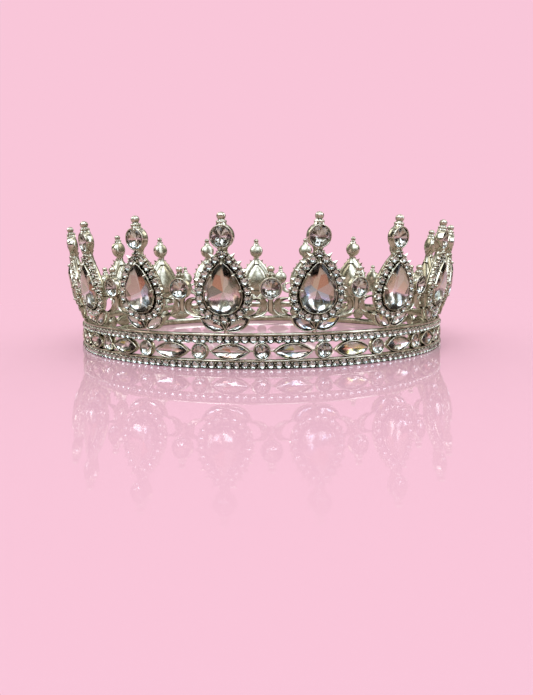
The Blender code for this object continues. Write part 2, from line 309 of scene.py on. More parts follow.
def marquise_at(turn, length, width, offset=0.0):
    """Points of two arcs that meet in tips on the X axis, grown by the offset."""
    turn = np.asarray(turn, float) % (2 * math.pi)
    arc_radius = (length**2 + width**2) / (4 * width)
    sunk = arc_radius - width / 2
    arc_radius = arc_radius + offset
    reach = math.acos(sunk / arc_radius)
    upper = turn <= math.pi
    swing = np.where(upper, turn / math.pi * 2 - 1, (turn - math.pi) / math.pi * 2 - 1) * reach
    side = np.where(upper, 1, -1)
    x = -side * arc_radius * np.sin(swing)
    return np.column_stack([x, side * (arc_radius * np.cos(swing) - sunk)])


def marquise_family(length, width):
    turns = full_turn(56)
    return lambda offset: marquise_at(turns, length, width, offset)


# ---------------------------------------------------------------- stones


# Foil tints, partly the foil's own tint and partly painted reflection: bright and warm facets of the large
# stones, their rims and tips, and the small stones. Warm ones paint a warm reflection and are chosen more
# often high on a stone, bright ones paint window glints, tips are painted brighter, and the rare ones are
# painted glints.
LIT_TINTS = (
    (1.0, 1.0, 1.0),
    (0.76, 0.79, 0.73),
    (0.68, 0.84, 1.0),
    (0.96, 0.98, 1.0),
    (0.42, 0.44, 0.42),
)
WARM_TINTS = (
    (1.0, 0.90, 0.92),
    (1.0, 0.86, 0.76),
    (0.88, 0.74, 0.74),
    (1.0, 0.98, 0.96),
    (0.86, 0.52, 0.40),
)
RIM_TINTS = (
    (0.62, 0.61, 0.50),
    (0.88, 0.87, 0.78),
    (0.34, 0.33, 0.26),
    (1.0, 1.0, 0.96),
    (0.80, 0.68, 0.60),
    (0.82, 0.86, 0.90),
)
TIP_TINTS = (
    (0.96, 0.97, 0.88),
    (1.0, 1.0, 0.94),
    (0.86, 0.86, 0.76),
    (1.0, 1.0, 0.96),
    (1.0, 0.93, 0.88),
    (0.95, 0.97, 1.0),
)
BUSY_TINTS = (
    (0.86, 0.76, 0.68),
    (0.93, 1.0, 0.98),
    (0.34, 0.32, 0.27),
    (0.71, 0.73, 0.69),
    (0.96, 1.0, 1.0),
    (0.14, 0.13, 0.12),
)
SMALL_TINTS = (
    (0.92, 1.0, 0.97),
    (0.88, 0.97, 0.98),
    (0.60, 0.65, 0.60),
    (0.22, 0.23, 0.21),
    (0.90, 0.89, 0.83),
    (0.95, 1.0, 0.98),
)
RARE_TINTS = (
    (0.98, 0.93, 0.45),
    (0.20, 0.17, 0.16),
    (0.80, 0.85, 1.0),
    (0.95, 0.97, 1.0),
)
# the share of facets with a painted glint, and the lift above which tips get brighter painted tints
RARE_SHARE = 0.08
TIP_LIFT = 0.45

# The cut: the rim ring's share of the girdle, and how far hand cutting strays
RIM_SHARE = 0.82
WAIST_JITTER = 0.15
RIM_JITTER = 0.035
CULET_JITTER = 0.08

# Depths of a round stone, as shares of its radius, and of a marquise and every girdle, in millimetres
ROUND_CROWN = 0.28
ROUND_PAVILION = 0.42
MARQUISE_CROWN = 0.7
MARQUISE_PAVILION = 0.62
GIRDLE_HALF = 0.06

# A small stone's table, as a share of its radius, and the depths of its table, girdle and culet
CHATON_TABLE = 0.5
CHATON_DEPTHS = (-0.42, -0.06, 0.0, 0.5)


def foil_tint_and_painted_reflection(rng, lift):
    """A foil tint with painted reflection for a facet that lies lift above the stone's middle, from -1 to 1:
    higher facets more often get a warm painted reflection, lower ones a bright one.
    """
    if rng.random() < RARE_SHARE:
        return rng.choice(RARE_TINTS)
    warm = rng.random() < 0.5 + 0.75 * lift
    return rng.choice(WARM_TINTS if warm else LIT_TINTS)


def scatter(rng, *size):
    """An array of random numbers from -1 to 1."""
    return np.array([rng.uniform(-1, 1) for _ in range(math.prod(size))]).reshape(size)


def gaps_before(points):
    """The distance from each point of a closed loop back to the one before it."""
    return np.linalg.norm(points - np.roll(points, 1, axis=0), axis=1)


def gem_points(girdle, middle, depths, rng, table, waist, belly):
    """A stone's points, level by level from its table to its culet."""
    table_y, front_y, back_y, culet_y = depths

    def drawn_in(points, share):
        return middle + (points - middle) * share

    crown_mid = drawn_in(girdle[1::2], table + (1 - table) * 0.5)
    crown_y = table_y + (front_y - table_y) * 0.40
    lower_mid = drawn_in(girdle[1::2], waist)
    gaps = gaps_before(lower_mid)
    room = np.minimum(gaps, np.roll(gaps, -1))[:, None]
    lower_mid += scatter(rng, len(lower_mid), 2) * room * WAIST_JITTER
    lower_y = back_y + (culet_y - back_y) * belly
    rim_y = back_y + (lower_y - back_y) * (1 - RIM_SHARE) / (1 - waist)
    rim = upright(drawn_in(girdle, RIM_SHARE), rim_y)
    rim[:, 1] += scatter(rng, len(rim)) * gaps_before(rim) * RIM_JITTER
    reach = np.abs(girdle - middle).max()
    culet = middle + scatter(rng, 2) * reach * CULET_JITTER
    levels = [
        upright(drawn_in(girdle[0::2], table), table_y),
        upright(crown_mid, crown_y),
        upright(girdle, front_y),
        upright(girdle, back_y),
        rim,
        upright(lower_mid, lower_y),
        upright(culet[None], culet_y),
    ]
    return np.concatenate(levels)


def gem_faces(mains):
    """The clear front facets and the foiled back facets over the points of gem_points()."""
    tables = range(mains)
    mids = range(mains, 2 * mains)
    fronts = range(2 * mains, 4 * mains)
    backs = range(4 * mains, 6 * mains)
    rims = range(6 * mains, 8 * mains)
    lowers = range(8 * mains, 9 * mains)
    tip = 9 * mains
    front_faces = [tuple(tables)]
    back_faces = []
    for index in range(mains):
        after = (index + 1) % mains
        before = (index - 1) % mains
        main, half, next_main = 2 * index, 2 * index + 1, (2 * index + 2) % (2 * mains)
        front_faces += [
            (tables[index], tables[after], mids[index]),
            (tables[index], mids[index], fronts[main]),
            (tables[index], fronts[main], mids[before]),
            (mids[index], fronts[main], fronts[half]),
            (mids[index], fronts[half], fronts[next_main]),
            (fronts[main], backs[main], backs[half], fronts[half]),
            (fronts[half], backs[half], backs[next_main], fronts[next_main]),
        ]
        back_faces += [
            (lowers[index], rims[half], rims[main]),
            (lowers[index], rims[next_main], rims[half]),
            (tip, lowers[index], rims[main]),
            (tip, rims[main], lowers[before]),
            (backs[main], rims[main], rims[half]),
            (backs[main], rims[half], backs[half]),
            (backs[half], rims[half], rims[next_main]),
            (backs[half], rims[next_main], backs[next_main]),
        ]
    return front_faces, back_faces


def gem_tints(girdle, middle, rng, busy):
    """A foil tint with painted reflection for each back facet, in the order of gem_faces(); tips get brighter
    painted tints.
    """
    reach = np.abs(girdle - middle).max()
    tints = []
    for height in girdle[0::2, 1]:
        lift = (height - middle[1]) / reach
        edge = TIP_TINTS if lift > TIP_LIFT else RIM_TINTS
        kite = rng.choice(BUSY_TINTS) if busy else foil_tint_and_painted_reflection(rng, lift)
        halves = BUSY_TINTS if busy else edge
        rims = SMALL_TINTS if busy else edge
        tints += [rng.choice(halves), rng.choice(halves), kite, kite]
        tints += [rng.choice(rims) for _ in range(4)]
    return tints


def faceted(points, front_faces, back_faces, tints):
    """A stone of flat facets, with a tint and painted reflection for each foiled one."""
    stone = Shape()
    stone.add(points, front_faces, CLEAR, smooth=False)
    stone.add_faces(back_faces, FOIL, False, tints)
    return stone


def gem(outline, centre, depths, rng, table, mains, waist=0.62, belly=0.45, busy=False):
    """A faceted stone. outline(turns) gives the girdle.

    depths are the y of table, girdle front, girdle back and culet. table and waist are shares of
    the girdle, and belly is the share of the pavilion's depth that is reached at the waist.
    """
    count = 2 * mains
    girdle = outline(2 * math.pi * np.arange(count) / count)
    middle = np.asarray(centre, float)
    points = gem_points(girdle, middle, depths, rng, table, waist, belly)
    return faceted(points, *gem_faces(mains), gem_tints(girdle, middle, rng, busy))


def chaton(radius, rng):
    """A small round rhinestone: a table, one row of crown facets and a foiled cone."""
    sides = 8
    turns = 2 * math.pi * (np.arange(sides) + 0.5) / sides
    circle = np.column_stack([np.cos(turns), np.sin(turns)])
    table_y, front_y, back_y, culet_y = [radius * depth for depth in CHATON_DEPTHS]
    levels = [
        upright(circle * radius * CHATON_TABLE, table_y),
        upright(circle * radius, front_y),
        upright(circle * radius, back_y),
        upright(np.zeros((1, 2)), culet_y),
    ]
    front_faces = [tuple(range(sides))]
    back_faces = []
    for index in range(sides):
        after = (index + 1) % sides
        for level in (0, sides):
            below = level + sides
            front_faces.append((level + index, level + after, below + after, below + index))
        back_faces.append((2 * sides + index, 2 * sides + after, 3 * sides))
    tints = [rng.choice(SMALL_TINTS) for _ in range(sides)]
    return faceted(np.concatenate(levels), front_faces, back_faces, tints)


def stone_depths(girdle_y, crown, pavilion):
    """The y of a stone's table, girdle front, girdle back and culet."""
    return girdle_y - crown, girdle_y - GIRDLE_HALF, girdle_y + GIRDLE_HALF, girdle_y + pavilion


def round_stone(radius, centre, girdle_y, rng):
    def outline(turns):
        return np.column_stack([radius * np.cos(turns), centre + radius * np.sin(turns)])

    depths = stone_depths(girdle_y, radius * ROUND_CROWN, radius * ROUND_PAVILION)
    return gem(outline, (0, centre), depths, rng, table=0.44, mains=12, waist=0.52, busy=True)


def marquise_stone(length, width, girdle_y, rng):
    def outline(turns):
        return marquise_at(turns, length, width)

    depths = stone_depths(girdle_y, MARQUISE_CROWN, MARQUISE_PAVILION)
    return gem(outline, (0, 0), depths, rng, table=0.48, mains=6)


def pear_stone(rng):
    width, height, bottom = PEAR_CUP
    stone_width, stone_height = width - 2 * PEAR_INSET, height - 2.2 * PEAR_INSET
    stone_bottom = bottom + PEAR_INSET
    heart = (0, stone_bottom + 0.42 * stone_height)

    def outline(turns):
        return pear_at(turns, stone_width, stone_height, stone_bottom)

    return gem(outline, heart, PEAR_DEPTHS, rng, table=0.66, mains=8, belly=0.38)


# ---------------------------------------------------------------- settings


def bezel_cup(shape, family, rim_y, seat_y, back_y, wall, dome, flare=0.12):
    """A smooth cup with a thin rounded rim, a seat inside painted near-black as shade, and a closed domed
    back.
    """
    rounding = wall / 2
    profile = [(-wall, seat_y)]
    for turn in np.linspace(0, math.pi, 6):
        across = -rounding + rounding * -math.cos(turn)
        profile.append((across, rim_y + rounding * (1 - math.sin(turn))))
    profile += [(flare * 0.6, (rim_y + back_y) / 2), (flare, back_y - 0.25), (flare - 0.12, back_y)]
    loops = [upright(family(offset), y) for offset, y in profile]
    loops += domed(loops[-1], dome)
    skin(shape, loops)
    # painted shade: the seat inside the cup gets the near-black metal
    seat = ((-wall + 0.02, seat_y - 0.02), (-wall - 0.5, seat_y - 0.04))
    skin(shape, [upright(family(offset), y) for offset, y in seat], PAINTED_SHADE_SEAT)


def soften_back(shape, depth):
    """Gives the metal that lies behind a depth the satin finish of the castings' backs."""
    points = np.concatenate(shape.points)
    for index, face in enumerate(shape.faces):
        if shape.slots[index] == METAL and points[list(face), 1].mean() > depth:
            shape.slots[index] = BACK


def claw(shape, foot, tip, radius, count=8):
    """A rounded claw from foot to tip."""
    foot, tip = Vector(foot), Vector(tip)
    turn = (tip - foot).normalized().to_track_quat("Z", "Y").to_matrix()
    length = (tip - foot).length
    profile = [(radius * thickness, length * share) for thickness, share in CLAW_PROFILE]
    skin(shape, [loop @ np.array(turn).T + np.array(foot) for loop in turned(profile, count)])


def leaf(shape, root, outward, length, width, y):
    """A pointed four-sided ray at the edge of a setting."""
    root, outward = np.asarray(root, float), np.asarray(outward, float)
    side = np.array([-outward[1], outward[0]])
    left, right = root - side * width / 2, root + side * width / 2
    tip = root + outward * length
    crest = root + outward * length * 0.15
    points = [
        (left[0], y, left[1]),
        (right[0], y, right[1]),
        (crest[0], y - 0.45, crest[1]),
        (crest[0], y + 0.4, crest[1]),
        (tip[0], y - 0.12, tip[1]),
    ]
    faces = [(0, 2, 4), (2, 1, 4), (1, 3, 4), (3, 0, 4), (0, 3, 1, 2)]
    shape.add(points, faces, smooth=False)


def claw_setting(shape, centre, radius, girdle_y, base_y, outward):
    """A low cup with four claws round a small stone."""
    x, z = centre
    cup = round_family(radius, z, 14)
    profile = (
        (-0.18, girdle_y + 0.75),
        (-0.06, girdle_y + 0.02),
        (0.1, girdle_y - 0.08),
        (0.2, girdle_y + 0.12),
        (0.16, base_y),
    )
    skin(shape, [upright(cup(offset) + (x, 0), y) for offset, y in profile])
    start = math.atan2(outward[1], outward[0]) + math.pi / 4
    for quarter in range(4):
        turn = start + quarter * math.pi / 2
        reach = radius + 0.14
        foot = (x + reach * math.cos(turn), base_y, z + reach * math.sin(turn))
        grip = radius - 0.06
        tip = (x + grip * math.cos(turn), girdle_y - 0.5, z + grip * math.sin(turn))
        claw(shape, foot, tip, 0.29)


def spread_along(outline, count, phase):
    """Evenly spaced points along a closed outline, each with its outward direction."""
    closed = np.concatenate([outline, outline[:1]])
    steps = np.linalg.norm(np.diff(closed, axis=0), axis=1)
    reach = np.concatenate([[0], np.cumsum(steps)])

    def places_at(distances):
        return np.column_stack([np.interp(distances, reach, closed[:, axis]) for axis in (0, 1)])

    wanted = (np.arange(count) + phase) / count * reach[-1]
    nudge = 0.3
    along = places_at((wanted + nudge) % reach[-1]) - places_at((wanted - nudge) % reach[-1])
    along /= np.linalg.norm(along, axis=1)[:, None]
    return places_at(wanted), np.column_stack([along[:, 1], -along[:, 0]])


def finial(shape, cup_centre, cup_radius, bead, depths):
    """A deep round cup with a ridged collar, a ring of granules and a ball on top."""
    rim_y, seat_y, back_y, dome = depths
    bezel_cup(shape, round_family(cup_radius, cup_centre), rim_y, seat_y, back_y, 0.38, dome)
    bead_centre, bead_radius = bead
    top = cup_centre + cup_radius
    neck = bead_centre - bead_radius * 0.8
    wide = bead_radius * 1.08
    collar = [
        (wide * 1.25, top - 0.6),
        (wide * 1.12, top - 0.15),
        (wide * 0.95, top + (neck - top) * 0.35),
        (wide * 0.8, top + (neck - top) * 0.8),
        (bead_radius * 0.75, neck),
    ]
    skin(shape, turned(collar, 36, ridges=9, ridge_depth=0.09))
    granule = ball_profile(top + (neck - top) * 0.5, bead_radius * 0.42, steps=7)
    for index in range(GRANULES):
        turn = 2 * math.pi * (index + 0.5) / GRANULES
        place = (math.cos(turn) * wide * 0.86, math.sin(turn) * wide * 0.86)
        skin(shape, turned(granule, 10, place))
    skin(shape, turned(ball_profile(bead_centre, bead_radius), 36, ridges=6, ridge_depth=0.14))


def halo_places():
    """The halo stones' centres and outward directions, the first at the bottom."""
    return spread_along(pear_family(*PEAR_CUP, 360)(HALO_OFFSET), HALO_STONES, 0)


def stem_places():
    """The small stones that climb the stem: (centre, radius)."""
    low = PEAR_CUP[2] + PEAR_CUP[1]
    return (((-0.85, low + 2.25), 0.62), ((0.85, low + 2.25), 0.62), ((0.0, low + 3.15), 0.72))


def v_point(side, along, raised):
    """A point of the V foot, by its distance along the foot's straight lower edge and above it."""
    x = along * math.cos(V_ANGLE) - raised * math.sin(V_ANGLE)
    return side * x, along * math.sin(V_ANGLE) + raised * math.cos(V_ANGLE)


def v_matrix(side):
    """Where a marquise of the V foot lies, its outer tip raised."""
    x, z = v_point(side, V_ALONG, V_RAISE)
    return Matrix.Translation((x, -0.4, z)) @ Matrix.Rotation(-side * V_ANGLE, 4, "Y")


def add_halo(shape):
    """The plate round the pear cup, with its beads, claws, small settings and rays."""
    width, height, bottom = PEAR_CUP
    pear = pear_family(width, height, bottom)
    tube_ring(shape, [upright(pear(offset), y) for offset, y in HALO_PLATE])
    edge = pear_family(width, height, bottom, 360)(HALO_OFFSET + 1.05)
    for x, z in spread_along(edge, HALO_STONES, 0.5)[0]:
        claw(shape, (x, -0.9, z), (x, -2.0, z), 0.4)
    grips, outwards = spread_along(pear(0), PEAR_CLAWS, 0)
    for (x, z), outward in zip(grips[1:], outwards[1:]):
        claw(shape, (x, -2.3, z), (x - outward[0] * 0.75, -3.4, z - outward[1] * 0.75), 0.4)
    for place, outward in zip(*halo_places()):
        claw_setting(shape, place, HALO_STONE_RADIUS, HALO_GIRDLE_Y, -0.7, outward)
        height_share = (place[1] - bottom) / height
        if height_share > 0.1:
            length = 0.75 + 1.35 * max(0.0, height_share - 0.3)
            root = place + outward * (HALO_STONE_RADIUS - 0.05)
            leaf(shape, root, outward, length, 1.6, -1.5)


def add_foot_and_stem(shape):
    """The V foot's cups and post under the pear cup, and the stem above it."""
    for side in (-1, 1):
        cup = Shape()
        bezel_cup(cup, marquise_family(*V_SIZE), -0.95, 0.35, 0.7, 0.36, 0.35)
        shape.join(cup, v_matrix(side))
    foot = [(0.7, -0.25), (0.75, 0.3), (0.5, 1.0), (0.35, 2.6), (0.35, 4.4)]
    skin(shape, turned(foot, 16))
    top = TOP_CUP_CENTRE - TOP_CUP_RADIUS + 0.5
    bottom = PEAR_CUP[2] + PEAR_CUP[1]
    stem = [(1.9, bottom - 0.6), (1.45, bottom + 0.9), (1.3, top - 1.4), (1.9, top)]
    skin(shape, turned(stem, 16))
    for place, radius in stem_places():
        claw_setting(shape, place, radius, STEM_GIRDLE_Y, 0.0, (0, 1))
    for side in (-1, 1):
        leaf(shape, (side * 1.2, bottom + 2.5), (side * 0.7, 0.7), 1.0, 0.9, -0.9)


def spire_casting():
    """All the metal of a tall spire."""
    shape = Shape()
    bezel_cup(shape, pear_family(*PEAR_CUP), -2.8, 0.3, 0.4, 0.22, 1.9, 0.05)
    add_halo(shape)
    add_foot_and_stem(shape)
    finial(shape, TOP_CUP_CENTRE, TOP_CUP_RADIUS, TOP_BEAD, (-1.75, 0.3, 0.7, 1.2))
    soften_back(shape, 0.2)
    return shape


def scroll_line(side):
    """Points along a C scroll from its foot to its top, and the direction across each."""
    turns = math.pi * (np.arange(SCROLL_STEPS) / (SCROLL_STEPS - 1) - 0.5)
    squareness = np.where(turns > 0, 0.42, 0.8)
    across = SCROLL_OUTER - (SCROLL_OUTER - SCROLL_INNER) * np.abs(np.cos(turns)) ** squareness
    rise = (SCROLL_LOW + SCROLL_HIGH) / 2 + (SCROLL_HIGH - SCROLL_LOW) / 2 * np.sin(turns)
    centres = np.column_stack([side * across, np.full(SCROLL_STEPS, 0.1), rise])
    along = np.gradient(centres, axis=0)
    along /= np.linalg.norm(along, axis=1)[:, None]
    return centres, np.cross(along, (0, 1, 0))


def scroll(shape, side):
    """A C scroll: a fine raised rim round a dished crescent."""
    centres, sideways = scroll_line(side)
    angles = full_turn(12)
    half_width, half_depth = SCROLL_RIM
    last = SCROLL_STEPS - 1
    rim = []
    for step in range(SCROLL_STEPS):
        swell = min(1.0, 0.55 + 0.06 * min(step, last - step)) * (0.92 + 0.12 * (step % 2))
        wide = np.outer(np.cos(angles) * half_width * swell, sideways[step])
        rim.append(centres[step] + wide + np.outer(np.sin(angles) * half_depth * swell, (0, 1, 0)))
    skin(shape, rim)
    inward = sideways * (1 if sideways[SCROLL_STEPS // 2, 0] * side > 0 else -1)
    web = []
    for step in range(SCROLL_STEPS):
        reach = 0.25 + 2.3 * max(0.0, math.sin(math.pi * step / last)) ** 0.8
        root = centres[step]
        section = [root + inward[step] * reach * share + (0, y, 0) for share, y in WEB_SECTION]
        web.append(np.array(section))
    skin(shape, web, BACK)


def link_casting():
    """The metal of a short finial, its post and the two scrolls beside it."""
    shape = Shape()
    scroll(shape, -1)
    scroll(shape, 1)
    low, high = POST_LOW, SHORT_CUP_CENTRE - SHORT_CUP_RADIUS + 0.4
    post = [(0.45, low - 0.25), (0.8, low), (0.85, low + 1.2), (0.75, high - 1.2), (1.25, high)]
    skin(shape, turned(post, 24, (0, 0.2)))
    finial(shape, SHORT_CUP_CENTRE, SHORT_CUP_RADIUS, SHORT_BEAD, (-1.65, 0.2, 0.6, 1.0))
    soften_back(shape, 0.2)
    return shape


# ---------------------------------------------------------------- the band


def ring_matrix(angle, radius=STONE_RADIUS_ON_RING, height=0.0):
    place = (radius * math.sin(angle), -radius * math.cos(angle), height)
    return Matrix.Translation(place) @ Matrix.Rotation(angle, 4, "Z")


def stone_angle(stone):
    """Where a stone of the rails' rows sits round the band."""
    return 2 * math.pi * stone / RAIL_STONES


def add_ring(shape, profile):
    """A profile of (radius, z) pairs turned round the band."""
    loops = []
    for step in range(RAIL_STONES):
        angle = stone_angle(step)
        loops.append(np.array([(r * math.sin(angle), -r * math.cos(angle), z) for r, z in profile]))
    tube_ring(shape, loops)


def rail_setting(row_height):
    """The cup of one rail stone, with the two beads that it shares with the next."""
    unit = Shape()
    cup = round_family(RAIL_STONE_RADIUS, row_height, 14)
    profile = ((-0.2, 0.75), (-0.06, 0.1), (0.1, -0.02), (0.2, 0.12), (0.2, 1.1))
    skin(unit, [upright(cup(offset), y) for offset, y in profile])
    half_pitch = math.pi * STONE_RADIUS_ON_RING / RAIL_STONES
    for level in (-1, 1):
        foot = (half_pitch, 1.1, row_height + level * 0.8)
        claw(unit, foot, (half_pitch, -0.22, row_height + level * 0.66), 0.3, 7)
    return unit


def rail_casting(bottom, top, row_height, strip_low):
    """A rail: back wall, a smooth edge strip and the settings of its stones."""
    shape = Shape()
    corner = 0.12
    inner, outer = RAIL_INNER, RAIL_OUTER
    wall = [(inner, bottom + corner), (inner + corner, bottom), (WALL_EDGE, bottom)]
    wall += [(WALL_OUTER, bottom + corner), (WALL_OUTER, top - corner), (WALL_EDGE, top)]
    wall += [(inner + corner, top), (inner, top - corner)]
    strip = [(STRIP_INNER, strip_low), (outer - corner, strip_low), (outer, strip_low + corner)]
    strip += [(outer, top - corner), (outer - corner, top), (STRIP_INNER, top)]
    add_ring(shape, wall)
    add_ring(shape, strip)
    unit = rail_setting(row_height)
    for stone in range(RAIL_STONES):
        shape.join(unit, ring_matrix(stone_angle(stone)))
    return shape


def small_turn(rng, amount):
    """A random small tilt, up to an amount each way."""
    turn = Matrix.Rotation(rng.uniform(-amount, amount), 4, "X")
    return turn @ Matrix.Rotation(rng.uniform(-amount, amount), 4, "Z")


def rail_stone_row(row_height, rng):
    shape = Shape()
    for stone in range(RAIL_STONES):
        spin = Matrix.Rotation(rng.uniform(0, ANY_TURN), 4, "Y")
        seat = Matrix.Translation((0, 0, row_height)) @ spin
        tilt = small_turn(rng, 0.09)
        shape.join(chaton(RAIL_STONE_RADIUS, rng), ring_matrix(stone_angle(stone)) @ seat @ tilt)
    return shape


BAND_MIDDLE = (LOWER_RAIL_TOP + UPPER_RAIL_BOTTOM) / 2
BAND_CUP_HEIGHT = UPPER_RAIL_BOTTOM - LOWER_RAIL_TOP + 0.1
BAND_MARQUISE = (12.3, BAND_CUP_HEIGHT)
BAND_GIRDLE_Y = 0.25


def band_link():
    """Half of the short bar behind the gap between two band cups."""
    link = Shape()
    angles = full_turn(10)
    y, z = 1.8 + 0.25 * np.sin(angles), BAND_MIDDLE + 0.28 * np.cos(angles)
    section = np.column_stack([np.zeros(10), y, z])
    skin(link, [section + (x, 0, 0) for x in (2.4, 2.8, 3.2, 3.6, 4.0)])
    return link


def band_cup_casting():
    """The round and marquise cups between the rails, with a short link behind each gap."""
    cups = []
    round_outline = round_family(BAND_CUP_HEIGHT / 2, BAND_MIDDLE, 40)
    for outline in (round_outline, marquise_family(*BAND_MARQUISE)):
        cup = Shape()
        bezel_cup(cup, outline, -0.2, 1.3, 1.7, 0.32, 0.4)
        soften_back(cup, 1.2)
        cups.append(cup)
    raised = Matrix.Translation((0, 0, BAND_MIDDLE))
    mirrored = Matrix.Scale(-1, 4, (1, 0, 0))
    link = band_link()
    shape = Shape()
    for pair in range(BAND_PAIRS):
        angle = pair * PAIR_PITCH
        shape.join(cups[0], ring_matrix(angle))
        shape.join(link, ring_matrix(angle))
        shape.join(link, ring_matrix(angle) @ mirrored)
        shape.join(cups[1], ring_matrix(angle + PAIR_PITCH / 2) @ raised)
    return shape


# ---------------------------------------------------------------- materials


def new_material(name):
    material = bpy.data.materials.new(name)
    material.use_nodes = True
    nodes = material.node_tree.nodes
    return material, nodes, material.node_tree.links, nodes["Principled BSDF"]


def noise(nodes, links, scale, detail=4.0, roughness=0.55):
    coordinates = nodes.new("ShaderNodeTexCoord")
    texture = nodes.new("ShaderNodeTexNoise")
    texture.inputs["Scale"].default_value = scale
    texture.inputs["Detail"].default_value = detail
    texture.inputs["Roughness"].default_value = roughness
    links.new(coordinates.outputs["Object"], texture.inputs["Vector"])
    return texture


def ramp(nodes, links, source, stops):
    mapped = nodes.new("ShaderNodeValToRGB")
    elements = mapped.color_ramp.elements
    elements[0].position, elements[0].color = stops[0][0], (*stops[0][1], 1)
    elements[1].position, elements[1].color = stops[-1][0], (*stops[-1][1], 1)
    for position, colour in stops[1:-1]:
        elements.new(position).color = (*colour, 1)
    links.new(source, mapped.inputs["Fac"])
    return mapped


def map_range(nodes, links, source, from_range=(0, 1), to_range=(0, 1)):
    """A clamped linear change of range."""
    mapped = nodes.new("ShaderNodeMapRange")
    mapped.inputs["From Min"].default_value, mapped.inputs["From Max"].default_value = from_range
    mapped.inputs["To Min"].default_value, mapped.inputs["To Max"].default_value = to_range
    links.new(source, mapped.inputs["Value"])
    return mapped.outputs["Result"]


def mix_colour(nodes, links, factor, first, second, blend="MIX"):
    """A colour mix whose inputs may be sockets or plain colours."""
    mixed = nodes.new("ShaderNodeMix")
    mixed.data_type = "RGBA"
    mixed.blend_type = blend
    for name, value in (("Factor", factor), ("A", first), ("B", second)):
        if isinstance(value, bpy.types.NodeSocket):
            links.new(value, mixed.inputs[name])
        elif name == "Factor":
            mixed.inputs[name].default_value = value
        else:
            mixed.inputs[name].default_value = (*value, 1)
    return mixed.outputs["Result"]


def bump(nodes, links, texture, strength, distance):
    raised = nodes.new("ShaderNodeBump")
    raised.inputs["Strength"].default_value = strength
    raised.inputs["Distance"].default_value = distance
    links.new(texture.outputs["Fac"], raised.inputs["Height"])
    return raised.outputs["Normal"]


def silver_material(name, light, dark, polish):
    """Plated cast metal: patchy tone, painted shade darkening its crevices, uneven polish and a slightly wavy
    skin.
    """
    material, nodes, links, shader = new_material(name)
    tone = ramp(nodes, links, noise(nodes, links, 420).outputs["Fac"], [(0.35, dark), (0.65, light)])
    # painted shade: ambient occlusion darkens the colour towards the crevice shade in hollows and near walls
    shelter = nodes.new("ShaderNodeAmbientOcclusion")
    shelter.samples = 4
    shelter.inputs["Distance"].default_value = PAINTED_SHADE_REACH
    openness = map_range(nodes, links, shelter.outputs["AO"], PAINTED_SHADE_RANGE)
    tone_with_painted_shade = mix_colour(nodes, links, openness, PAINTED_CREVICE_SHADE, tone.outputs["Color"])
    links.new(tone_with_painted_shade, shader.inputs["Base Color"])
    shader.inputs["Metallic"].default_value = 1.0
    uneven = noise(nodes, links, 900, 6).outputs["Fac"]
    links.new(map_range(nodes, links, uneven, to_range=polish), shader.inputs["Roughness"])
    skin_normal = bump(nodes, links, noise(nodes, links, 650, 3), 0.12, 0.0002)
    links.new(skin_normal, shader.inputs["Normal"])
    return material


def crystal_material(name, light, dark):
    """Clear stone with faint smears on its polished facets."""
    material, nodes, links, shader = new_material(name)
    tone = ramp(nodes, links, noise(nodes, links, 300).outputs["Fac"], [(0.3, dark), (0.7, light)])
    links.new(tone.outputs["Color"], shader.inputs["Base Color"])
    smear = map_range(nodes, links, noise(nodes, links, 700).outputs["Fac"], to_range=(0.008, 0.02))
    links.new(smear, shader.inputs["Roughness"])
    shader.inputs["IOR"].default_value = 1.43
    shader.inputs["Transmission Weight"].default_value = 1.0
    return material


def foil_material(name):
    """The mirror foil behind a stone, tinted a little differently on each facet; the tints are partly the
    foil's own and partly painted reflections and glints.
    """
    material, nodes, links, shader = new_material(name)
    tint = nodes.new("ShaderNodeVertexColor")
    tint.layer_name = "foil_tint_and_painted_reflection"
    links.new(tint.outputs["Color"], shader.inputs["Base Color"])
    shader.inputs["Metallic"].default_value = 1.0
    shader.inputs["Roughness"].default_value = 0.12
    return material


# ---------------------------------------------------------------- the pieces


def piece(name, mesh, replaces=(), matrix=None):
    obj = bpy.data.objects.new(name, mesh)
    bpy.context.scene.collection.objects.link(obj)
    if matrix is not None:
        obj.matrix_world = matrix
    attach(obj, "root")
    if replaces:
        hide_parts(*replaces)
    return obj


def in_metres(matrix):
    """A matrix whose translation was in millimetres."""
    scaled = matrix.copy()
    scaled.translation *= MM
    return scaled


def standing(angle):
    """The leaning frame of a spire or link, in metres."""
    place = ring_matrix(angle, SPIRE_BASE_RADIUS, SPIRE_BASE_HEIGHT)
    return in_metres(place @ Matrix.Rotation(LEAN, 4, "X"))


def tilted(centre, rng, amount=0.035):
    """A small turn about a stone's own centre, as hand-set stones have."""
    centre = Vector(centre)
    return Matrix.Translation(centre) @ small_turn(rng, amount) @ Matrix.Translation(-centre)


def stone_piece(name, placed, materials, replaces=(), matrix=None):
    """A piece made of stones, each given with its place in millimetres."""
    shape = Shape()
    for stone, place in placed:
        shape.join(stone, place)
    piece(name, shape.mesh(name, materials), replaces, matrix)


